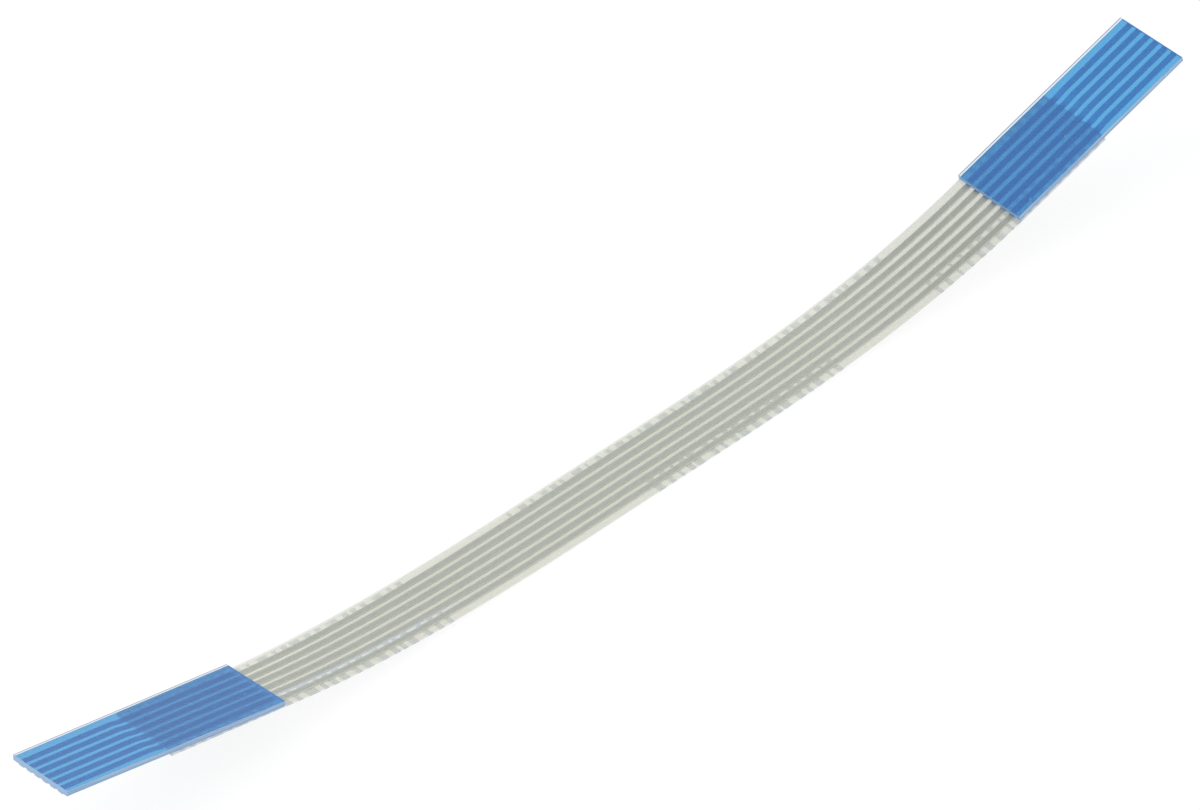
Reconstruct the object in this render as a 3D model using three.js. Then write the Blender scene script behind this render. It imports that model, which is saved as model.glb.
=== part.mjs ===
// A short flat flex cable, as used between two circuit boards.
// Flat tinned copper conductors lie side by side between an upper and a lower insulation film.
// Both films stop short of the ends, where the bare conductors are backed by a blue stiffener
// and show their contact faces downwards.
// The cable lies on its flat middle, and both ends curl up and twist a little.
//
// Units are millimetres. X runs along the cable, Y across it and Z up.
// The origin is on the underside, at the middle of the flat stretch that the cable lies on.
import * as THREE from "three";

// Conductors
const CONDUCTOR_COUNT = 6;
const PITCH = 0.5;
const CONDUCTOR_WIDTH = 0.3;
const CONDUCTOR_THICKNESS = 0.05;

// Cable as cut to length
const CABLE_LENGTH = 58;
const EDGE_TO_FIRST_CONDUCTOR = 0.5;
const FILM_COVER = 0.055;
const GLUE_LINE = 0.005;

// Ends
const EXPOSED_LENGTH = 4.7;
const STIFFENER_LENGTH = 9.8;
const STIFFENER_THICKNESS = 0.24;
const STEP_UP_START = 0.15;
const STEP_UP_LENGTH = 0.6;

// How the cable lies: it is straight over its flat middle and along each stiffener.
// Between them it bends up by the rise and turns by the twist, both in degrees.
// The ease is the power of the share of the bend passed, so a higher one bends later.
const FLAT_LENGTH = 5;
const LEFT_END = { side: -1, rise: 12.2, twist: 6.4, ease: 2 };
const RIGHT_END = { side: 1, rise: 16, twist: 6.6, ease: 1.5 };

// Fineness of the solids
const BEND_STEPS = 6;
const STEP_UP_STEPS = 4;
const INTEGRATION_STEPS = 64;

// Worked out from the dimensions above
const CABLE_WIDTH = (CONDUCTOR_COUNT - 1) * PITCH + 2 * EDGE_TO_FIRST_CONDUCTOR;
const HALF_LENGTH = CABLE_LENGTH / 2;
const BEND_START = FLAT_LENGTH / 2;
const BEND_END = HALF_LENGTH - STIFFENER_LENGTH;
const FILM_END = HALF_LENGTH - EXPOSED_LENGTH;
const FILM_FACE = CONDUCTOR_THICKNESS / 2 + FILM_COVER;
const STIFFENER_UNDERSIDE = FILM_FACE + GLUE_LINE;
const CONTACT_RISE = STIFFENER_UNDERSIDE - GLUE_LINE - CONDUCTOR_THICKNESS / 2;

const materials = {
  film: new THREE.MeshStandardMaterial({ color: 0xe4e5da, roughness: 0.35, metalness: 0 }),
  conductor: new THREE.MeshStandardMaterial({ color: 0xb4b5ae, roughness: 0.4, metalness: 1 }),
  stiffener: new THREE.MeshStandardMaterial({ color: 0x3f86cf, roughness: 0.35, metalness: 0 }),
};

// The end that a place along the cable belongs to. s is the distance along it from its middle.
function endOf(s) {
  return s < 0 ? LEFT_END : RIGHT_END;
}

// How far the bend has come at s, from 0 on the flat middle to 1 at the stiffener.
function bendShare(s) {
  const passed = (Math.abs(s) - BEND_START) / (BEND_END - BEND_START);
  return THREE.MathUtils.clamp(passed, 0, 1) ** endOf(s).ease;
}

// Slope of the middle plane at s, as an angle in radians, positive where it climbs towards +X.
function slopeAt(s) {
  const end = endOf(s);
  return end.side * THREE.MathUtils.degToRad(end.rise) * bendShare(s);
}

// Turn of the section about the line of the cable at s, in radians.
function twistAt(s) {
  const end = endOf(s);
  return end.side * THREE.MathUtils.degToRad(end.twist) * bendShare(s);
}

function alongAt(s) {
  const slope = slopeAt(s);
  return new THREE.Vector3(Math.cos(slope), 0, Math.sin(slope));
}

// Centre of the section at s: along the flat, then the bend added up in small steps,
// then straight on along the stiffener.
function centreAt(s) {
  const side = endOf(s).side;
  const reach = Math.abs(s);
  const centre = new THREE.Vector3(side * Math.min(reach, BEND_START), 0, FILM_FACE);
  const bent = Math.min(reach, BEND_END) - BEND_START;
  if (bent > 0) {
    const step = (side * bent) / INTEGRATION_STEPS;
    for (let i = 0; i < INTEGRATION_STEPS; i++) {
      const middle = side * BEND_START + (i + 0.5) * step;
      centre.addScaledVector(alongAt(middle), step);
    }
  }
  const straight = Math.max(reach - BEND_END, 0);
  return centre.addScaledVector(alongAt(s), side * straight);
}

// The section's own axes at s: along the cable, across it and up through its thickness.
function axesAt(s) {
  const along = alongAt(s);
  const twist = twistAt(s);
  const untwistedUp = new THREE.Vector3(-along.z, 0, along.x);
  const untwistedAcross = new THREE.Vector3(0, 1, 0);
  const across = untwistedAcross.clone().multiplyScalar(Math.cos(twist));
  across.addScaledVector(untwistedUp, Math.sin(twist));
  const up = untwistedUp.clone().multiplyScalar(Math.cos(twist));
  up.addScaledVector(untwistedAcross, -Math.sin(twist));
  return { along, across, up };
}

// Places along the cable where a piece has a section, between two distances from its middle.
function stationsBetween(from, to, extra = []) {
  const bends = [];
  for (let i = 0; i <= BEND_STEPS; i++) {
    const reach = THREE.MathUtils.lerp(BEND_START, BEND_END, i / BEND_STEPS);
    bends.push(-reach, reach);
  }
  const inside = [...bends, ...extra].filter((s) => s > from && s < to);
  return [from, ...inside.sort((a, b) => a - b), to];
}

// Extrudes a section along the stations and lays it along the bent cable.
// The section's x is the distance across the cable and its y the height over the middle plane.
// liftAt gives how much higher than that the piece lies at a distance from the middle.
function laidAlong(section, stations, liftAt = () => 0) {
  const steps = stations.length - 1;
  const geometry = new THREE.ExtrudeGeometry(section, { depth: steps, steps, bevelEnabled: false });
  const frames = stations.map((s) => ({ centre: centreAt(s), lift: liftAt(s), ...axesAt(s) }));
  const position = geometry.getAttribute("position");
  const point = new THREE.Vector3();
  for (let i = 0; i < position.count; i++) {
    const frame = frames[Math.round(position.getZ(i))];
    point.copy(frame.centre);
    point.addScaledVector(frame.across, position.getX(i));
    point.addScaledVector(frame.up, position.getY(i) + frame.lift);
    position.setXYZ(i, point.x, point.y, point.z);
  }
  geometry.computeVertexNormals();
  return geometry;
}

// Distance of a conductor's middle from the cable's, counted from the near edge.
function conductorPlace(index) {
  return (index - (CONDUCTOR_COUNT - 1) / 2) * PITCH;
}

// Section of one film. Its inner face has a recess over each conductor, half a conductor deep.
// The lower film is the upper one turned over.
function filmSection(isUpper) {
  const inner = GLUE_LINE / 2;
  const recess = CONDUCTOR_THICKNESS / 2 + GLUE_LINE;
  const halfRecess = CONDUCTOR_WIDTH / 2 + GLUE_LINE;
  const outline = [
    new THREE.Vector2(CABLE_WIDTH / 2, inner),
    new THREE.Vector2(CABLE_WIDTH / 2, FILM_FACE),
    new THREE.Vector2(-CABLE_WIDTH / 2, FILM_FACE),
    new THREE.Vector2(-CABLE_WIDTH / 2, inner),
  ];
  for (let i = 0; i < CONDUCTOR_COUNT; i++) {
    const place = conductorPlace(i);
    outline.push(
      new THREE.Vector2(place - halfRecess, inner),
      new THREE.Vector2(place - halfRecess, recess),
      new THREE.Vector2(place + halfRecess, recess),
      new THREE.Vector2(place + halfRecess, inner),
    );
  }
  if (!isUpper) {
    outline.forEach((corner) => corner.setY(-corner.y));
    outline.reverse();
  }
  return new THREE.Shape(outline);
}

function film(isUpper) {
  return laidAlong(filmSection(isUpper), stationsBetween(-FILM_END, FILM_END));
}

// Lift of a conductor: level between the films, then up against the stiffener's underside.
function contactLift(s) {
  const start = FILM_END + STEP_UP_START;
  return CONTACT_RISE * THREE.MathUtils.smoothstep(Math.abs(s), start, start + STEP_UP_LENGTH);
}

function conductor(index) {
  const place = conductorPlace(index);
  const left = place - CONDUCTOR_WIDTH / 2;
  const right = place + CONDUCTOR_WIDTH / 2;
  const half = CONDUCTOR_THICKNESS / 2;
  const section = new THREE.Shape([
    new THREE.Vector2(left, -half),
    new THREE.Vector2(right, -half),
    new THREE.Vector2(right, half),
    new THREE.Vector2(left, half),
  ]);
  const stepUp = [];
  for (let i = 0; i <= STEP_UP_STEPS; i++) {
    const reach = FILM_END + STEP_UP_START + (STEP_UP_LENGTH * i) / STEP_UP_STEPS;
    stepUp.push(-reach, reach);
  }
  return laidAlong(section, stationsBetween(-HALF_LENGTH, HALF_LENGTH, stepUp), contactLift);
}

// A stiffener is a straight strip of thick film, flush with the cable's edges and with its tip.
function stiffener(end) {
  const size = [STIFFENER_LENGTH, CABLE_WIDTH, STIFFENER_THICKNESS];
  const mesh = new THREE.Mesh(new THREE.BoxGeometry(...size), materials.stiffener);
  const middle = end.side * (HALF_LENGTH - STIFFENER_LENGTH / 2);
  const { along, across, up } = axesAt(middle);
  const height = STIFFENER_UNDERSIDE + STIFFENER_THICKNESS / 2;
  mesh.position.copy(centreAt(middle)).addScaledVector(up, height);
  mesh.quaternion.setFromRotationMatrix(new THREE.Matrix4().makeBasis(along, across, up));
  return mesh;
}

function named(mesh, name) {
  mesh.name = name;
  return mesh;
}

const cable = new THREE.Group();
cable.add(named(new THREE.Mesh(film(false), materials.film), "lower_film"));
for (let i = 0; i < CONDUCTOR_COUNT; i++) {
  cable.add(named(new THREE.Mesh(conductor(i), materials.conductor), "conductor_" + (i + 1)));
}
cable.add(named(new THREE.Mesh(film(true), materials.film), "upper_film"));
cable.add(named(stiffener(LEFT_END), "left_stiffener"));
cable.add(named(stiffener(RIGHT_END), "right_stiffener"));

export default cable;
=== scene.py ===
# %% [markdown]
# A flat flex cable
#
# The object is a short flat cable that joins two circuit boards. Six flat
# tinned copper conductors run side by side between two thin milky films. At
# each end the films stop, a blue stiffener backs the bare conductors, and their
# contact faces look down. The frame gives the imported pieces. Their shape is
# right but coarse, so each is made again here as a finer surface in the same
# place, and given its finish.

# %% The frame
import math

import bpy
import numpy as np
from mathutils import Matrix, Vector


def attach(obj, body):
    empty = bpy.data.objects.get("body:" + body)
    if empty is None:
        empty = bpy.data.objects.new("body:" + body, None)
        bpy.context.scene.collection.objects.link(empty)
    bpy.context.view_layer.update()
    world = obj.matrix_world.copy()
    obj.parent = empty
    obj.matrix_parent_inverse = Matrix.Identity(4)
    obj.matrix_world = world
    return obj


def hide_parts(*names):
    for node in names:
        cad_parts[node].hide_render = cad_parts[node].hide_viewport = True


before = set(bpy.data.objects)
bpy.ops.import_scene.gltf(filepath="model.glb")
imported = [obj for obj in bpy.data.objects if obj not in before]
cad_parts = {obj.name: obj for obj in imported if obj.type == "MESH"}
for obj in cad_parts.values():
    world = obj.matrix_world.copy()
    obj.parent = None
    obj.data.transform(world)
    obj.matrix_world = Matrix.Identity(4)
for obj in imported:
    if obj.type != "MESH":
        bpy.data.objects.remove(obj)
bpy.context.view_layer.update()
print("packed pieces:", sorted(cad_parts))

# %% [markdown]
# Sizes
#
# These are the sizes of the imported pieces, in metres. A conductor is 0.05 mm
# thick and a film covers it by about as much again, so the cable is thinner
# than a postcard. All heights are counted from the middle plane of the
# conductors, along the normal of the bent cable.

# %% Sizes of the cable
MM = 0.001
CONDUCTOR_COUNT = 6
PITCH = 0.5 * MM
CONDUCTOR_WIDTH = 0.3 * MM
CONDUCTOR_THICKNESS = 0.05 * MM
EDGE_TO_FIRST_CONDUCTOR = 0.5 * MM
CABLE_LENGTH = 58 * MM
FILM_COVER = 0.055 * MM
GLUE_LINE = 0.005 * MM
EXPOSED_LENGTH = 4.7 * MM
STIFFENER_LENGTH = 9.8 * MM
STIFFENER_THICKNESS = 0.24 * MM
STEP_UP_START = 0.15 * MM
STEP_UP_LENGTH = 0.6 * MM
FLAT_LENGTH = 5 * MM
LEFT_RISE, LEFT_TWIST, LEFT_EASE = math.radians(12.2), math.radians(6.4), 2.0
RIGHT_RISE, RIGHT_TWIST, RIGHT_EASE = math.radians(16), math.radians(6.6), 1.5

CABLE_WIDTH = (CONDUCTOR_COUNT - 1) * PITCH + 2 * EDGE_TO_FIRST_CONDUCTOR
HALF_LENGTH = CABLE_LENGTH / 2
BEND_START = FLAT_LENGTH / 2
BEND_END = HALF_LENGTH - STIFFENER_LENGTH
FILM_END = HALF_LENGTH - EXPOSED_LENGTH
FILM_FACE = CONDUCTOR_THICKNESS / 2 + FILM_COVER
STIFFENER_UNDERSIDE = FILM_FACE + GLUE_LINE
print("cable width in mm:", round(CABLE_WIDTH / MM, 3))

# %% [markdown]
# Camera
#
# The picture was taken from above and to the left, from about four cable
# lengths away. The camera is placed by the direction back to it from the point
# that it looks at, its distance, and a small roll about its line of sight.

# %% Camera
AZIMUTH = math.radians(-34.642)
ELEVATION = math.radians(40.196)
ROLL = math.radians(-8.546)
DISTANCE = 220.63 * MM
LOOKED_AT = Vector((1.2635, 4.0216, 0)) * MM
LENS_MM = 165.714
NEAR_CLIP = 10 * MM


def add_camera():
    """The camera's own Z axis is the direction back to it, and its X and Y axes are the level
    right and up directions turned by the roll."""
    back = Vector((
        math.sin(AZIMUTH) * math.cos(ELEVATION),
        -math.cos(AZIMUTH) * math.cos(ELEVATION),
        math.sin(ELEVATION),
    ))
    level_right = Vector((math.cos(AZIMUTH), math.sin(AZIMUTH), 0))
    level_up = back.cross(level_right)
    right = level_right * math.cos(ROLL) + level_up * math.sin(ROLL)
    up = back.cross(right)
    data = bpy.data.cameras.new("camera")
    data.lens = LENS_MM
    data.clip_start = NEAR_CLIP
    camera = bpy.data.objects.new("camera", data)
    place = Matrix((right, up, back)).transposed().to_4x4()
    place.translation = LOOKED_AT + back * DISTANCE
    camera.matrix_world = place
    bpy.context.collection.objects.link(camera)
    bpy.context.scene.camera = camera
    return camera


camera = add_camera()
print("camera stands at", [round(x, 4) for x in camera.matrix_world.translation])

# %% [markdown]
# Course of the cable
#
# The cable lies on its flat middle and curls up towards both ends. A stiffener
# keeps its end straight, so the bend has its whole rise at the stiffener's
# inner end. The slope is a power of the share of the bend passed, and so is the
# twist. Adding up the direction in small steps gives the middle line, and one
# function then carries any point of a straight cable to its place on the bent
# one.

# %% Course of the cable
COURSE_STEPS = 4000
grid = np.linspace(-HALF_LENGTH, HALF_LENGTH, COURSE_STEPS + 1)


def bend_share(s, ease):
    """clip((|s| - bend start) / (bend end - bend start), 0, 1) to the power ease."""
    passed = (np.abs(s) - BEND_START) / (BEND_END - BEND_START)
    return np.clip(passed, 0, 1) ** ease


def slope_at(s):
    """Angle of the middle line at s: minus the left rise or plus the right one, times the share."""
    left, right = -LEFT_RISE * bend_share(s, LEFT_EASE), RIGHT_RISE * bend_share(s, RIGHT_EASE)
    return np.where(s < 0, left, right)


def twist_at(s):
    """Turn of the section about the middle line at s, by the same shares as the slope."""
    left, right = -LEFT_TWIST * bend_share(s, LEFT_EASE), RIGHT_TWIST * bend_share(s, RIGHT_EASE)
    return np.where(s < 0, left, right)


def summed(rate):
    """Running sum of the mean of neighbouring rates times the step, zero at the cable's middle."""
    parts = (rate[1:] + rate[:-1]) / 2 * np.diff(grid)
    total = np.concatenate([[0], np.cumsum(parts)])
    return total - np.interp(0, grid, total)


middle_x = summed(np.cos(slope_at(grid)))
middle_z = summed(np.sin(slope_at(grid))) + FILM_FACE


def laid(s, across, height):
    """Carries points of a straight cable to the bent one. Place = middle line at s + across times
    the section's width direction + height times its normal, where the twist turns those two."""
    slope, twist = slope_at(s), twist_at(s)
    flat_up = np.stack([-np.sin(slope), np.zeros_like(s), np.cos(slope)], axis=-1)
    flat_across = np.array([0.0, 1.0, 0.0])
    cos, sin = np.cos(twist)[..., None], np.sin(twist)[..., None]
    width_way = cos * flat_across + sin * flat_up
    up_way = cos * flat_up - sin * flat_across
    middle = np.stack(
        [np.interp(s, grid, middle_x), np.zeros_like(s), np.interp(s, grid, middle_z)], axis=-1
    )
    return middle + across[..., None] * width_way + height[..., None] * up_way


tip_heights = [round(float(middle_z[end]) / MM, 2) for end in (0, -1)]
print("the left and right tips stand this many mm up:", tip_heights)

# %% [markdown]
# Carrying a section along the cable
#
# Films and conductors are all one section pushed along the course, as they are
# when a real cable is laminated from rolls. So one function makes a closed
# surface from an outline and a row of stations. It also stores each point's
# place on the straight cable, in millimetres, which the finishes read later: a
# scratch or a stripe then follows the cable round its bend.

# %% Carrying a section along the cable
STATION_STEP = 0.4 * MM


def stations(start, stop, step=STATION_STEP, extra=()):
    """Evenly spaced places from start to stop, about step apart, with the extra ones merged in."""
    count = max(1, round((stop - start) / step))
    even = np.linspace(start, stop, count + 1)
    inside = [s for s in extra if start < s < stop]
    return np.unique(np.round(np.concatenate([even, inside]), 9))


def closed_mesh(name, points, faces, straight):
    """A mesh object from points and faces, with each point's place on the straight cable in mm."""
    mesh = bpy.data.meshes.new(name)
    mesh.from_pydata(points.tolist(), [], faces)
    mesh.update()
    place = mesh.attributes.new("straight_mm", "FLOAT_VECTOR", "POINT")
    place.data.foreach_set("vector", (straight / MM).astype(np.float32).ravel())
    piece = bpy.data.objects.new(name, mesh)
    bpy.context.collection.objects.link(piece)
    return piece


def swept(name, outline, places, lift=None, widen=None, end_waver=None):
    """A tube with flat ends. Point (i, j) is the outline's corner j carried to station i, raised by
    the lift there and moved across by what widen gives. end_waver moves the corners of the first
    and last sections along the cable."""
    outline = np.asarray(outline, float)
    rings, corners = len(places), len(outline)
    s = np.repeat(places[:, None], corners, axis=1)
    if end_waver is not None:
        s[0] += end_waver(outline[:, 0], 0)
        s[-1] += end_waver(outline[:, 0], 1)
    across = np.repeat(outline[None, :, 0], rings, axis=0)
    height = np.repeat(outline[None, :, 1], rings, axis=0)
    if lift is not None:
        height = height + lift(s)
    if widen is not None:
        across = across + widen(s, across)
    points = laid(s.ravel(), across.ravel(), height.ravel())
    straight = np.stack([s.ravel(), across.ravel(), height.ravel()], axis=1)
    ring, corner = np.meshgrid(np.arange(rings - 1), np.arange(corners), indexing="ij")
    following = (corner + 1) % corners
    first, second = ring * corners, (ring + 1) * corners
    around = [first + corner, first + following, second + following, second + corner]
    quads = np.stack(around, axis=-1)
    faces = quads.reshape(-1, 4).tolist()
    faces.append(list(range(corners))[::-1])
    faces.append([(rings - 1) * corners + j for j in range(corners)])
    return closed_mesh(name, points, faces, straight)


def outward(piece):
    """Turns the whole surface over if its enclosed volume comes out negative."""
    mesh = piece.data
    mesh.calc_loop_triangles()
    place = np.zeros(len(mesh.vertices) * 3)
    mesh.vertices.foreach_get("co", place)
    place = place.reshape(-1, 3)
    corner = np.zeros(len(mesh.loop_triangles) * 3, np.int32)
    mesh.loop_triangles.foreach_get("vertices", corner)
    a, b, c = (place[corner.reshape(-1, 3)[:, k]] for k in range(3))
    volume = float(np.einsum("ij,ij->i", a, np.cross(b, c)).sum() / 6)
    if volume < 0:
        mesh.flip_normals()


# %% [markdown]
# Films
#
# Each film is a flat strip with a shallow recess over every conductor. The
# adhesive squeezes out to the edges and fills the gaps, so the two films meet
# there. The slit edges are a little rounded, and the ends were torn off the
# adhesive by a window punch, so their edge wavers by a few hundredths of a
# millimetre. The films are made as full sections instead of a solidified sheet,
# because the recesses have to meet the conductors.

# %% Films
EDGE_ROUNDING = 0.012 * MM
WAVER = 0.05 * MM


def conductor_place(index):
    """Distance of a conductor's middle from the cable's, counted from the near edge."""
    return (index - (CONDUCTOR_COUNT - 1) / 2) * PITCH


def film_outline(side):
    """The film's section, counted round from its outer corner. side is 1 for the upper film and -1
    for the lower one, which is the same section turned over."""
    inner, recess = GLUE_LINE / 2, CONDUCTOR_THICKNESS / 2 + GLUE_LINE
    half_recess, half = CONDUCTOR_WIDTH / 2 + GLUE_LINE, CABLE_WIDTH / 2
    rim = half - EDGE_ROUNDING
    outline = [(half, inner), (half, FILM_FACE - EDGE_ROUNDING), (rim, FILM_FACE)]
    outline += [(-rim, FILM_FACE), (-half, FILM_FACE - EDGE_ROUNDING), (-half, inner)]
    for i in range(CONDUCTOR_COUNT):
        left, right = conductor_place(i) - half_recess, conductor_place(i) + half_recess
        outline += [(left, inner), (left, recess), (right, recess), (right, inner)]
    return [(across, side * height) for across, height in outline]


def window_waver(across, end):
    """Two slow sine waves across the cable, in other phases at the other end."""
    turn = across / CABLE_WIDTH * 2 * np.pi
    return WAVER * (0.6 * np.sin(1.3 * turn + 2 + end) + 0.4 * np.sin(3.1 * turn + 3 * end))


def add_film(name, side):
    film = swept(name, film_outline(side), stations(-FILM_END, FILM_END), end_waver=window_waver)
    outward(film)
    return film


lower_film = add_film("lower_film_sheet", -1)
upper_film = add_film("upper_film_sheet", 1)
print("faces in a film:", len(upper_film.data.polygons))

# %% [markdown]
# Conductors
#
# A conductor is copper wire rolled flat and then tinned, so its edges are
# round. Between the films it runs level. Past the end of the films it steps up
# by a film's cover, because the stiffener is pressed straight on to it there.

# %% Conductors
STEP_UP_END = STEP_UP_START + STEP_UP_LENGTH
ROLLED_EDGE_POINTS = 5
STEP_UP_STATIONS = 9


def contact_lift(s):
    """Film cover times 3u^2 - 2u^3, where u goes from 0 to 1 over the step up."""
    u = np.clip((np.abs(s) - FILM_END - STEP_UP_START) / STEP_UP_LENGTH, 0, 1)
    return FILM_COVER * u * u * (3 - 2 * u)


def conductor_outline(index):
    """A flat oval: two straight faces joined by half circles as wide as the strip is thick."""
    place, radius = conductor_place(index), CONDUCTOR_THICKNESS / 2
    reach = CONDUCTOR_WIDTH / 2 - radius
    turn = np.linspace(-np.pi / 2, np.pi / 2, ROLLED_EDGE_POINTS)
    right = [(place + reach + radius * math.cos(a), radius * math.sin(a)) for a in turn]
    left = [(place - reach - radius * math.cos(a), -radius * math.sin(a)) for a in turn]
    return right + left


fine_places = np.linspace(FILM_END + STEP_UP_START, FILM_END + STEP_UP_END, STEP_UP_STATIONS)
conductor_places = stations(
    -HALF_LENGTH, HALF_LENGTH, extra=[*fine_places, *-fine_places, FILM_END, -FILM_END]
)


def add_conductor(index):
    name, outline = f"conductor_{index + 1}_strip", conductor_outline(index)
    conductor = swept(name, outline, conductor_places, contact_lift)
    outward(conductor)
    return conductor


conductors = [add_conductor(i) for i in range(CONDUCTOR_COUNT)]
print("conductors:", len(conductors))

# %% [markdown]
# Stiffeners
#
# A stiffener is a strip of thick blue film that is cut with the cable, so its
# long edges are flush with the films and its tip with the conductors. The left
# strip was laid on askew: on the near side it stands proud of the films by up
# to a fifth of a millimetre, and the knife left it undercut there. The corners
# are taken off by a hundredth of a millimetre, enough to catch the light.

# %% Stiffeners
BURR = 0.014 * MM
LEFT_UNDERCUT = 0.05 * MM
LEFT_STANDS_PROUD = 0.22 * MM
STIFFENER_STATION_STEP = 0.7 * MM


def stiffener_outline(undercut):
    """A rectangle with small chamfers, from the film's face up. The undercut narrows its underside
    on the near side."""
    low, high = STIFFENER_UNDERSIDE, STIFFENER_UNDERSIDE + STIFFENER_THICKNESS
    half, rim = CABLE_WIDTH / 2, CABLE_WIDTH / 2 - BURR
    return [
        (rim, low), (half, low + BURR), (half, high - BURR), (rim, high),
        (-rim, high), (-half, high - BURR), (-half + undercut, low + BURR), (-rim + undercut, low),
    ]


def laid_askew(s, across):
    """The near side of the left strip moves out in proportion to its distance from the tip."""
    share = np.clip((s + HALF_LENGTH) / STIFFENER_LENGTH, 0, 1)
    return np.where(across < 0, -LEFT_STANDS_PROUD * share, 0)


def add_stiffener(name, start, stop, undercut=0, widen=None):
    places = stations(start, stop, STIFFENER_STATION_STEP)
    stiffener = swept(name, stiffener_outline(undercut), places, widen=widen)
    outward(stiffener)
    return stiffener


left_stiffener = add_stiffener(
    "left_stiffener_strip", -HALF_LENGTH, -BEND_END, LEFT_UNDERCUT, laid_askew
)
right_stiffener = add_stiffener("right_stiffener_strip", BEND_END, HALF_LENGTH)
print("stiffeners:", left_stiffener.name, right_stiffener.name)

# %% [markdown]
# Building a finish
#
# Every finish is a small network of shader nodes. One helper adds a node and
# fills its inputs, and the others hand back the result that is wanted from it,
# so a finish reads from top to bottom like a recipe. The patterns read each
# point's place on the straight cable, so nothing slides when the model is moved.
# Their lengths are in millimetres, as that place is, and only a bump's depth is
# in metres.

# %% Building a finish
BUMP_DEPTH = 0.004 * MM
STIFFENER_START = BEND_END / MM


def fill(tree, sockets, values):
    """Each socket takes a link if its value is a socket too, and else the value itself."""
    for key, value in values.items():
        if isinstance(value, bpy.types.NodeSocket):
            tree.links.new(value, sockets[key])
        else:
            sockets[key].default_value = value


def added(tree, kind, values, **settings):
    """Adds a node and returns it."""
    node = tree.nodes.new(kind)
    for key, value in settings.items():
        setattr(node, key, value)
    fill(tree, node.inputs, values)
    return node


def worked(tree, operation, *values):
    """The result of one sum on numbers."""
    return added(tree, "ShaderNodeMath", dict(enumerate(values)), operation=operation).outputs[0]


def ramped(tree, value, low, high):
    """Goes smoothly from 0 at low to 1 at high, as 3u^2 - 2u^3."""
    values = {"Value": value, "From Min": low, "From Max": high}
    return added(tree, "ShaderNodeMapRange", values, interpolation_type="SMOOTHSTEP").outputs[0]


def between(tree, share, first, second):
    """A colour between two others: first at share 0 and second at share 1."""
    node = added(tree, "ShaderNodeMix", {}, data_type="RGBA")
    sockets = {socket.identifier: socket for socket in node.inputs}
    fill(tree, sockets, {"Factor_Float": share, "A_Color": first, "B_Color": second})
    return next(socket for socket in node.outputs if socket.identifier == "Result_Color")


def new_finish(name):
    """An empty material, its node tree, and its output node."""
    material = bpy.data.materials.new(name)
    material.use_nodes = True
    material.node_tree.nodes.clear()
    output = material.node_tree.nodes.new("ShaderNodeOutputMaterial")
    return material, material.node_tree, output


def straight_place(tree):
    """Place on the straight cable in mm: along, across and height, and all three as one vector."""
    place = added(tree, "ShaderNodeAttribute", {}, attribute_name="straight_mm").outputs["Vector"]
    parts = added(tree, "ShaderNodeSeparateXYZ", {"Vector": place})
    return parts.outputs["X"], parts.outputs["Y"], parts.outputs["Z"], place


def stretched(tree, place, scale):
    """The same place with each axis scaled, so that a pattern runs along the cable."""
    return added(tree, "ShaderNodeMapping", {"Vector": place, "Scale": scale}).outputs[0]


def cloudy(tree, place, scale, detail=2.0, roughness=0.5):
    """Soft noise between 0 and 1."""
    values = {"Vector": place, "Scale": scale, "Detail": detail, "Roughness": roughness}
    return added(tree, "ShaderNodeTexNoise", values).outputs[0]


# %% [markdown]
# Tinned copper
#
# Rolling leaves fine lines along a conductor. Under the film its tin is dull,
# because the adhesive wets it. Painted shade greys it a little towards the
# right end, and darker painted shade lies on it where a stiffener covers it
# and just before. The bare contacts are brighter, and boards have rubbed them
# along their length. A stretched noise makes the lines, in the colour, the
# roughness and the bump alike. Between the films the rolled edges are painted
# light: whitish, so that they show none of their dark shade or reflection.

# %% Tinned copper
DULL_TIN = (0.50, 0.53, 0.56, 1)
DULL_TIN_DARK = (0.44, 0.47, 0.50, 1)
# Painted shade on the tin: darker under a stiffener, greyer towards the right end.
TIN_STIFFENER_SHADE = (0.225, 0.235, 0.29, 1)
SHADED_TIN = (0.36, 0.375, 0.38, 1)
SHADE_START = 9.0
BRIGHT_TIN = (0.66, 0.66, 0.66, 1)
BRIGHT_TIN_WORN = (0.54, 0.54, 0.53, 1)
# Painted light: whitish rolled edges between the films, in place of their dark shade.
EDGE_LIGHT_WHITE = (0.86, 0.87, 0.80, 1)
EDGE_LIGHT_WARM = (0.90, 0.89, 0.80, 1)
ROLLED_LINES = (0.12, 16, 16)
WORN_PATCHES = (0.5, 2, 2)
EDGE_LIGHT_CLOUDS = (0.4, 3, 3)
BARE_START, BARE_FULL = FILM_END / MM - 0.1, FILM_END / MM + 0.3
TIN_STIFFENER_SHADE_START, TIN_STIFFENER_SHADE_FULL = STIFFENER_START - 0.05, STIFFENER_START + 0.35


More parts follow.
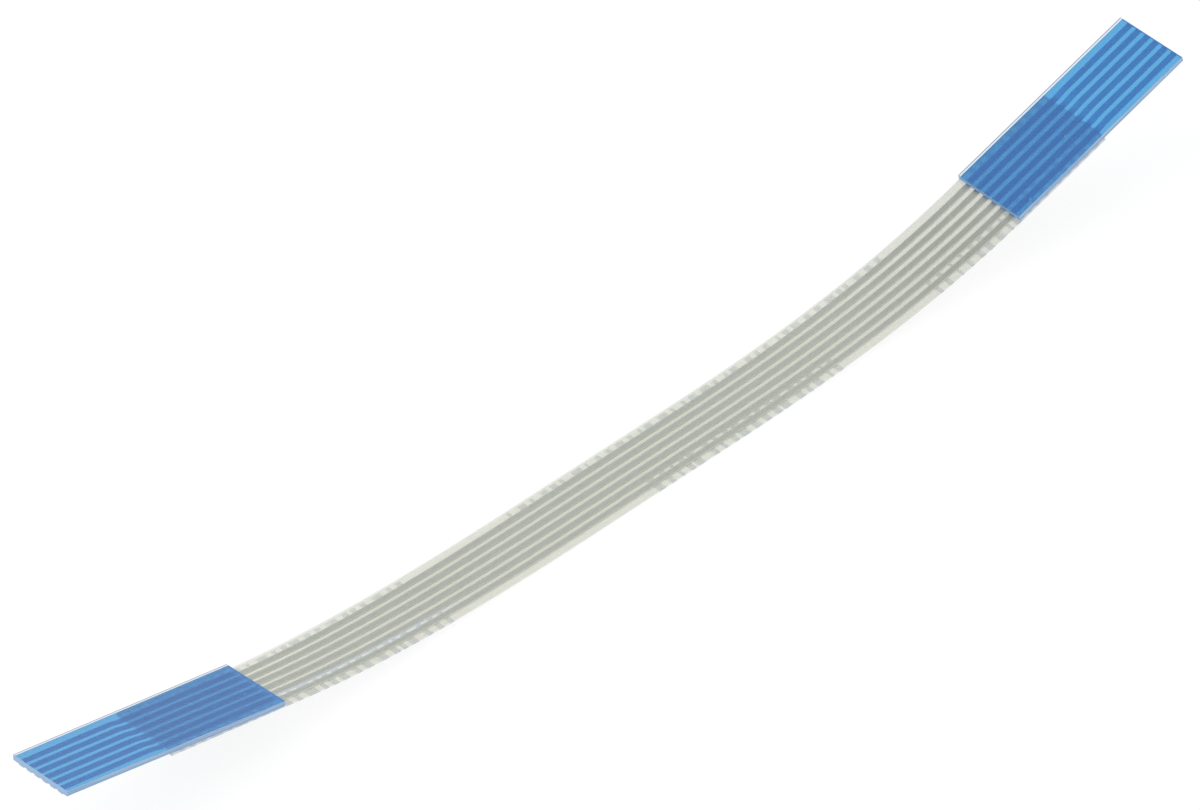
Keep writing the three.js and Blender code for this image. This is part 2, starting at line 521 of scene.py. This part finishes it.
def tinned_copper():
    material, tree, output = new_finish("tinned_copper")
    along, _, _, place = straight_place(tree)
    lines = cloudy(tree, stretched(tree, place, ROLLED_LINES), 2.0, 3.0, 0.6)
    patches = cloudy(tree, stretched(tree, place, WORN_PATCHES), 1.0)
    from_middle = worked(tree, "ABSOLUTE", along)
    bare = ramped(tree, from_middle, BARE_START, BARE_FULL)
    dull = between(tree, lines, DULL_TIN_DARK, DULL_TIN)
    bright = between(tree, patches, BRIGHT_TIN_WORN, BRIGHT_TIN)
    # Painted shade: darker from just before a stiffener, greyer towards the right end.
    stiffener_zone = ramped(tree, from_middle, TIN_STIFFENER_SHADE_START, TIN_STIFFENER_SHADE_FULL)
    shade = ramped(tree, along, SHADE_START, STIFFENER_START)
    dull = between(tree, shade, dull, SHADED_TIN)
    dull = between(tree, stiffener_zone, dull, TIN_STIFFENER_SHADE)
    bump = {"Height": lines, "Strength": 0.25, "Distance": BUMP_DEPTH}
    shader = added(tree, "ShaderNodeBsdfPrincipled", {
        "Base Color": between(tree, bare, dull, bright),
        "Metallic": 1.0,
        "Roughness": worked(tree, "MULTIPLY_ADD", lines, 0.22, 0.26),
        "Normal": added(tree, "ShaderNodeBump", bump).outputs[0],
    })
    tree.links.new(shader.outputs[0], output.inputs["Surface"])
    return material


def painted_light_edge():
    """Painted light on a conductor's rolled edges: whitish, so that they show none of their dark
    shade or reflection.
    """
    material, tree, output = new_finish("painted_light_edge")
    place = straight_place(tree)[-1]
    clouds = cloudy(tree, stretched(tree, place, EDGE_LIGHT_CLOUDS), 1.0)
    shader = added(tree, "ShaderNodeBsdfPrincipled", {
        "Base Color": between(tree, clouds, EDGE_LIGHT_WHITE, EDGE_LIGHT_WARM),
        "Roughness": 0.5,
    })
    tree.links.new(shader.outputs[0], output.inputs["Surface"])
    return material


def is_painted_light_edge(conductor):
    """One number per face: 1 on its rolled edges between the films, else 0."""
    mesh = conductor.data
    corners = len(conductor_outline(0))
    count = len(mesh.polygons)
    face = np.arange(count)
    rounded = ~np.isin(face % corners, (ROLLED_EDGE_POINTS - 1, corners - 1))
    start = conductor_places[np.minimum(face // corners, len(conductor_places) - 1)]
    laminated = np.abs(start + STATION_STEP / 2) < FILM_END
    return (rounded & laminated & (face < count - 2)).astype(np.int32)


tin, edge_light_finish = tinned_copper(), painted_light_edge()
for conductor in conductors:
    conductor.data.materials.append(tin)
    conductor.data.materials.append(edge_light_finish)
    conductor.data.polygons.foreach_set("material_index", is_painted_light_edge(conductor))
print("finishes:", tin.name, edge_light_finish.name)

# %% [markdown]
# Milky film
#
# Clear polyester film with a white adhesive looks milky. Each film is a closed
# skin, so a line of sight passes two faces of it over a conductor and four
# between the conductors, and every face adds its share of white. So a plain
# alpha is enough, and light still reaches the tin below. The adhesive is faintly
# cloudy. Painted shade makes it a little darker and yellower between the
# conductors, but it is whiter in the nearest gap at the left. More painted shade
# greys it towards the right end, and darkens it where a stiffener lies on it and
# just before. The slit sides stay pale there. The underside carries ink: pale
# blue bars along both margins.

# %% Milky film
FILM_ALPHA = 0.17
FILM_WHITE = (0.63, 0.65, 0.49, 1)
FILM_WHITE_WARM = (0.66, 0.67, 0.49, 1)
# Painted shade: the film is darker and yellower between the conductors.
GAP_SHADE_WHITE = (0.52, 0.55, 0.37, 1)
STREAK_WHITE = (0.66, 0.74, 0.78, 1)
STREAK_START, STREAK_FULL = 9.0, 13.0
NEAR_GAP_EDGE = -0.75
GAP_REACH = 0.25
GAP_SOFTNESS = 0.08
LAST_GAP_EDGE = (CONDUCTOR_COUNT / 2 - 0.7) * PITCH / MM
# Painted shade on the film: greyer towards the right end, and darker under a stiffener and just
# before it.
SHADED_WHITE = (0.50, 0.52, 0.41, 1)
SHADE_SHARE = 0.8
FILM_STIFFENER_SHADE = (0.21, 0.24, 0.28, 1)
FILM_STIFFENER_SHADE_START, FILM_STIFFENER_SHADE_FULL = STIFFENER_START - 0.2, STIFFENER_START + 0.2
SLIT_WHITE = (0.78, 0.85, 0.93, 1)
SLIT_ALPHA = 0.35
SLIT_PLACE = (CABLE_WIDTH / 2 - 0.005 * MM) / MM
FILM_CLOUDS = (0.35, 0.8, 0.8)
FILM_GRAIN = (1.5, 14, 14)
FILM_IOR = 1.5
INK_BLUE = (0.38, 0.49, 0.68, 1)
INK_ALPHA = 0.50
BAR_PITCH = 0.56
BAR_SOFTNESS = 0.11
BAR_REACH, BAR_REACH_SPREAD = 0.18, 0.16
BAR_DRIFT = 2.2
DRIFT_ALONG_ONLY = (0.9, 0, 0)
SIDE_NUMBER = 53.0
BARS_IN_A_GROUP = 9
GROUPS_LEFT_OUT = 0.2
NEAR_INK_EDGE = -0.87
FAR_INK_EDGE = 1.3
INK_HEIGHT = -0.9 * FILM_FACE / MM


def drawn(tree, number):
    """A random number between 0 and 1, always the same for the same number."""
    values = {"W": number}
    return added(tree, "ShaderNodeTexWhiteNoise", values, noise_dimensions="1D").outputs[0]


def from_half(tree, count):
    """Distance of the count from halfway between two whole numbers, |fract(count) - 0.5|."""
    past_half = worked(tree, "SUBTRACT", worked(tree, "FRACT", count), 0.5)
    return worked(tree, "ABSOLUTE", past_half)


def ink_bars(tree, along, across, height, place):
    """Bars across the margins on the underside. Noise along the cable shifts their spacing, a
    random number for each bar sets its share of the pitch, and one for each group of places
    leaves some groups out."""
    drift = cloudy(tree, stretched(tree, place, DRIFT_ALONG_ONLY), 1.0)
    drift = worked(tree, "MULTIPLY", drift, BAR_DRIFT)
    count = worked(tree, "ADD", worked(tree, "DIVIDE", along, BAR_PITCH), drift)
    side = worked(tree, "MULTIPLY", worked(tree, "SIGN", across), SIDE_NUMBER)
    number = worked(tree, "ADD", worked(tree, "FLOOR", count), side)
    width = drawn(tree, number)
    reach = worked(tree, "MULTIPLY_ADD", width, BAR_REACH_SPREAD, BAR_REACH)
    from_centre = from_half(tree, count)
    bar = ramped(tree, worked(tree, "SUBTRACT", reach, from_centre), -BAR_SOFTNESS, BAR_SOFTNESS)
    group = worked(tree, "FLOOR", worked(tree, "DIVIDE", count, BARS_IN_A_GROUP))
    kept = drawn(tree, worked(tree, "ADD", group, side))
    shown = worked(tree, "GREATER_THAN", kept, GROUPS_LEFT_OUT)
    near = worked(tree, "LESS_THAN", across, NEAR_INK_EDGE)
    far = worked(tree, "GREATER_THAN", across, FAR_INK_EDGE)
    under = worked(tree, "LESS_THAN", height, INK_HEIGHT)
    where = worked(tree, "MULTIPLY", worked(tree, "ADD", near, far), under)
    return worked(tree, "MULTIPLY", worked(tree, "MULTIPLY", bar, shown), where)


def gap_mask(tree, across):
    """1 halfway between two neighbouring conductors, falling to 0 at their edges."""
    steps = worked(tree, "MULTIPLY_ADD", across, MM / PITCH, 0.5)
    left_over = worked(tree, "SUBTRACT", GAP_REACH, from_half(tree, steps))
    close = ramped(tree, left_over, 0, GAP_SOFTNESS)
    inside = worked(tree, "LESS_THAN", worked(tree, "ABSOLUTE", across), LAST_GAP_EDGE)
    return worked(tree, "MULTIPLY", close, inside)


def streak(tree, along, across, in_gap):
    """1 in the nearest gap once the left end is near, and 0 elsewhere."""
    near_gap = worked(tree, "MULTIPLY", in_gap, worked(tree, "LESS_THAN", across, NEAR_GAP_EDGE))
    leftward = ramped(tree, worked(tree, "MULTIPLY", along, -1), STREAK_START, STREAK_FULL)
    return worked(tree, "MULTIPLY", near_gap, leftward)


def milky_film():
    material, tree, output = new_finish("milky_film")
    along, across, height, place = straight_place(tree)
    clouds = cloudy(tree, stretched(tree, place, FILM_CLOUDS), 1.0, 3.0)
    grain = cloudy(tree, stretched(tree, place, FILM_GRAIN), 1.0)
    from_middle = worked(tree, "ABSOLUTE", along)
    stiffener_zone = ramped(tree, from_middle, FILM_STIFFENER_SHADE_START, FILM_STIFFENER_SHADE_FULL)
    ink = ink_bars(tree, along, across, height, place)
    white = between(tree, clouds, FILM_WHITE, FILM_WHITE_WARM)
    in_gap = gap_mask(tree, across)
    # Painted shade between the conductors.
    white = between(tree, in_gap, white, GAP_SHADE_WHITE)
    white = between(tree, streak(tree, along, across, in_gap), white, STREAK_WHITE)
    # Painted shade towards the right end and at the stiffener.
    shade = ramped(tree, along, SHADE_START, STIFFENER_START)
    white = between(tree, worked(tree, "MULTIPLY", shade, SHADE_SHARE), white, SHADED_WHITE)
    film_with_shade = between(tree, stiffener_zone, white, FILM_STIFFENER_SHADE)
    slit = worked(tree, "GREATER_THAN", worked(tree, "ABSOLUTE", across), SLIT_PLACE)
    slit = worked(tree, "MULTIPLY", slit, stiffener_zone)
    alpha = worked(tree, "MULTIPLY_ADD", ink, INK_ALPHA - FILM_ALPHA, FILM_ALPHA)
    bump = {"Height": grain, "Strength": 0.15, "Distance": BUMP_DEPTH}
    shader = added(tree, "ShaderNodeBsdfPrincipled", {
        "Base Color": between(tree, slit, between(tree, ink, film_with_shade, INK_BLUE), SLIT_WHITE),
        "Roughness": worked(tree, "MULTIPLY_ADD", grain, 0.2, 0.25),
        "IOR": FILM_IOR,
        "Alpha": worked(tree, "MULTIPLY_ADD", slit, SLIT_ALPHA, alpha),
        "Normal": added(tree, "ShaderNodeBump", bump).outputs[0],
    })
    tree.links.new(shader.outputs[0], output.inputs["Surface"])
    return material


film_finish = milky_film()
for film in (lower_film, upper_film):
    film.data.materials.append(film_finish)
print("finish:", film_finish.name)

# %% [markdown]
# Blue stiffener
#
# The stiffener is clear film dyed blue, and thick enough to bend what is seen
# through it, so its faces refract. A share of matt blue stands for the cloudy
# dye. Refracting faces would keep the lamps' light from what they cover, so for
# shadow rays alone each face is a plain blue filter. Along the far edge of its
# top runs a pale line of painted light with a thin grey rim of painted shade,
# and a few pale flecks lie on the top. The cut faces are rough, with pale lines
# from the knife over a blue foot.

# %% Blue stiffener
DYE_BLUE = (0.136, 0.575, 0.76, 1)
CLOUD_BLUE = (0.01, 0.27, 0.90, 1)
CLOUD_SHARE = 0.30
FILTER_BLUE = (0.26, 0.53, 0.66, 1)
CUT_BLUE = (0.30, 0.54, 0.86, 1)
CUT_BLUE_PALE = (0.60, 0.74, 0.86, 1)
CUT_CLEAR_SHARE = 0.15
# Painted light and painted shade: a pale line with a grey rim along the far edge of the top.
RIM_LIGHT_WHITE = (0.84, 0.90, 0.95, 1)
RIM_SHADE_GREY = (0.22, 0.32, 0.44, 1)
RIM_REACH = 0.13
RIM_SHADE_REACH = 0.055
RUBBED_LINES = (0.5, 7, 7)
FLECK_STRETCH = (0.9, 1.5, 0)
FLECK_SIZE = 0.045
FLECK_SHARE = 0.3
KNIFE_LINES = (0.3, 0, 22)
KNIFE_LINE_LOW, KNIFE_LINE_HIGH = 0.35, 0.6
CUT_FOOT = (STIFFENER_UNDERSIDE + 0.2 * STIFFENER_THICKNESS) / MM
CUT_HEAD = (STIFFENER_UNDERSIDE + 0.6 * STIFFENER_THICKNESS) / MM
STIFFENER_MID_HEIGHT = (STIFFENER_UNDERSIDE + STIFFENER_THICKNESS / 2) / MM
PAST_INNER_END = STIFFENER_START + 0.01
STIFFENER_IOR = 1.6
CUT_SIDES = (0, 1, 4, 5, 6)


def flecks(tree, place, stretch, size):
    """1 within a small distance of points scattered over the faces, else 0."""
    scattered = {"Vector": stretched(tree, place, stretch), "Scale": 1.0}
    distance = added(tree, "ShaderNodeTexVoronoi", scattered).outputs["Distance"]
    return worked(tree, "LESS_THAN", distance, size)


def lit_through(tree, shader, filter_colour):
    """The shader for every ray that draws, and a plain filter for the rays that look for lamps."""
    plain = added(tree, "ShaderNodeBsdfTransparent", {"Color": filter_colour})
    is_shadow_ray = added(tree, "ShaderNodeLightPath", {}).outputs["Is Shadow Ray"]
    layers = {0: is_shadow_ray, 1: shader.outputs[0], 2: plain.outputs[0]}
    return added(tree, "ShaderNodeMixShader", layers)


def blue_stiffener():
    material, tree, output = new_finish("blue_stiffener")
    _, across, height, place = straight_place(tree)
    rubbed = cloudy(tree, stretched(tree, place, RUBBED_LINES), 1.0, 3.0)
    bump = {"Height": rubbed, "Strength": 0.1, "Distance": BUMP_DEPTH}
    half = CABLE_WIDTH / MM / 2
    # Painted light line with a painted shade rim along the far edge of the top.
    outer = worked(tree, "GREATER_THAN", across, half - RIM_SHADE_REACH)
    rim_light_and_flecks = worked(tree, "GREATER_THAN", across, half - RIM_REACH)
    top = worked(tree, "GREATER_THAN", height, STIFFENER_MID_HEIGHT)
    rim_light_and_flecks = worked(tree, "MULTIPLY", rim_light_and_flecks, top)
    rim_light_and_shade_colour = between(tree, outer, RIM_LIGHT_WHITE, RIM_SHADE_GREY)
    fleck = worked(tree, "MULTIPLY", flecks(tree, place, FLECK_STRETCH, FLECK_SIZE), top)
    rim_light_and_flecks = worked(tree, "MAXIMUM", rim_light_and_flecks, worked(tree, "MULTIPLY", fleck, FLECK_SHARE))
    normal = added(tree, "ShaderNodeBump", bump).outputs[0]
    clear = added(tree, "ShaderNodeBsdfPrincipled", {
        "Base Color": DYE_BLUE,
        "Roughness": worked(tree, "MULTIPLY_ADD", rubbed, 0.06, 0.02),
        "IOR": STIFFENER_IOR,
        "Transmission Weight": 1.0,
        "Normal": normal,
    })
    clouded = added(tree, "ShaderNodeBsdfPrincipled", {
        "Base Color": between(tree, rim_light_and_flecks, CLOUD_BLUE, rim_light_and_shade_colour),
        "Roughness": 0.3,
        "IOR": STIFFENER_IOR,
        "Normal": normal,
    })
    share = worked(tree, "MULTIPLY_ADD", rim_light_and_flecks, 1 - CLOUD_SHARE, CLOUD_SHARE)
    layers = {0: share, 1: clear.outputs[0], 2: clouded.outputs[0]}
    surface = lit_through(tree, added(tree, "ShaderNodeMixShader", layers), FILTER_BLUE)
    tree.links.new(surface.outputs[0], output.inputs["Surface"])
    return material


def cut_edge():
    material, tree, output = new_finish("stiffener_cut_edge")
    along, _, height, place = straight_place(tree)
    lines = cloudy(tree, stretched(tree, place, KNIFE_LINES), 1.0, 3.0)
    lines = ramped(tree, lines, KNIFE_LINE_LOW, KNIFE_LINE_HIGH)
    pale = worked(tree, "MULTIPLY", ramped(tree, height, CUT_FOOT, CUT_HEAD), lines)
    past_end = worked(tree, "GREATER_THAN", worked(tree, "ABSOLUTE", along), PAST_INNER_END)
    pale = worked(tree, "MULTIPLY", pale, past_end)
    shader = added(tree, "ShaderNodeBsdfPrincipled", {
        "Base Color": between(tree, pale, CUT_BLUE, CUT_BLUE_PALE),
        "Roughness": 0.4,
        "IOR": STIFFENER_IOR,
        "Transmission Weight": CUT_CLEAR_SHARE,
    })
    surface = lit_through(tree, shader, FILTER_BLUE)
    tree.links.new(surface.outputs[0], output.inputs["Surface"])
    return material


stiffener_finish, cut_finish = blue_stiffener(), cut_edge()
outline_sides = len(stiffener_outline(0))
for stiffener in (left_stiffener, right_stiffener):
    stiffener.data.materials.append(stiffener_finish)
    stiffener.data.materials.append(cut_finish)
    count = len(stiffener.data.polygons)
    face = np.arange(count)
    is_cut = np.isin(face % outline_sides, CUT_SIDES) | (face >= count - 2)
    stiffener.data.polygons.foreach_set("material_index", is_cut.astype(np.int32))
print("finishes:", stiffener_finish.name, cut_finish.name)

# %% [markdown]
# Floor, background and lamps
#
# The cable lies on a white sheet that runs out of sight. For the camera, and
# for what mirrors it, most of the sheet's white is its own and the rest comes
# from the lamps, so it stays white but keeps a trace of the cable's shadow. The
# world is one even tent of light, and one large lamp adds a direction. The
# sheet lies a hair below the cable, so the ink on the underside isn't lost in
# it where the cable touches.

# %% Floor, background and lamps
FLOOR_SIZE = 4.0
FLOOR_DROP = 0.02 * MM
FLOOR_OWN_WHITE = 0.80
FLOOR_LEVEL = 1.10
MATT_WHITE = (0.8, 0.8, 0.8, 1)
FULL_WHITE = (1, 1, 1, 1)
TENT_LEVEL = 0.72
LAMP_SHARE = 0.30
LAMP_DISTANCE = 0.6
LAMP_SIZE = 0.5
TOWARDS_LAMP = Vector((-0.55, 0.35, 1))


def seen_directly(tree):
    """1 for the camera's rays and for mirrored or refracted ones, and 0 for the rest."""
    path = added(tree, "ShaderNodeLightPath", {}).outputs
    sharp = worked(tree, "MAXIMUM", path["Is Glossy Ray"], path["Is Transmission Ray"])
    return worked(tree, "MAXIMUM", path["Is Camera Ray"], sharp)


def add_floor():
    reach = FLOOR_SIZE / 2
    mesh = bpy.data.meshes.new("floor")
    sides = [(-reach, -reach), (reach, -reach), (reach, reach), (-reach, reach)]
    corners = [(x, y, -FLOOR_DROP) for x, y in sides]
    mesh.from_pydata(corners, [], [(0, 1, 2, 3)])
    floor = bpy.data.objects.new("floor", mesh)
    bpy.context.collection.objects.link(floor)
    material, tree, output = new_finish("white_sheet")
    matt = added(tree, "ShaderNodeBsdfDiffuse", {"Color": MATT_WHITE})
    own = added(tree, "ShaderNodeEmission", {"Color": FULL_WHITE, "Strength": FLOOR_LEVEL})
    share = worked(tree, "MULTIPLY", seen_directly(tree), FLOOR_OWN_WHITE)
    both = added(tree, "ShaderNodeMixShader", {0: share, 1: matt.outputs[0], 2: own.outputs[0]})
    tree.links.new(both.outputs[0], output.inputs["Surface"])
    mesh.materials.append(material)
    return floor


def light_the_tent():
    world = bpy.data.worlds.new("tent")
    world.use_nodes = True
    tree = world.node_tree
    tree.nodes.clear()
    level = worked(tree, "MULTIPLY_ADD", seen_directly(tree), 1 - TENT_LEVEL, TENT_LEVEL)
    background = added(tree, "ShaderNodeBackground", {"Color": FULL_WHITE, "Strength": level})
    output = tree.nodes.new("ShaderNodeOutputWorld")
    tree.links.new(background.outputs[0], output.inputs["Surface"])
    bpy.context.scene.world = world


def add_lamp():
    """A square lamp that faces the cable. At distance d it lights a white face as brightly as its
    power over pi^2 times d^2 says, where 1 renders as white."""
    data = bpy.data.lights.new("large_lamp", "AREA")
    data.size = LAMP_SIZE
    data.energy = LAMP_SHARE * math.pi ** 2 * LAMP_DISTANCE ** 2
    lamp = bpy.data.objects.new("large_lamp", data)
    towards = TOWARDS_LAMP.normalized()
    lamp.matrix_world = towards.to_track_quat("Z", "Y").to_matrix().to_4x4()
    lamp.location = towards * LAMP_DISTANCE
    bpy.context.collection.objects.link(lamp)
    return lamp


floor = add_floor()
light_the_tent()
lamp = add_lamp()
bpy.context.scene.view_settings.view_transform = "Standard"
print("lamp power in watts:", round(lamp.data.energy, 2))

# %% [markdown]
# Joining the frame
# Each new piece rides on the one body and stands for its imported piece, which
# is hidden. The table lists, for each piece, its imported piece and a finish name. The cable is
# declared as a cord: its length is the
# films' and its diameter is the cable's width.

# %% Joining the frame
STANDS_FOR = {
    lower_film: ("lower_film", "clear_film"),
    upper_film: ("upper_film", "clear_film"),
    left_stiffener: ("left_stiffener", "blue_stiffener"),
    right_stiffener: ("right_stiffener", "blue_stiffener"),
}
for index, conductor in enumerate(conductors):
    STANDS_FOR[conductor] = (f"conductor_{index + 1}", "tinned_copper")
for piece, (node, slot) in STANDS_FOR.items():
    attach(piece, "root")
    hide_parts(node)

print("pieces:", len(STANDS_FOR))
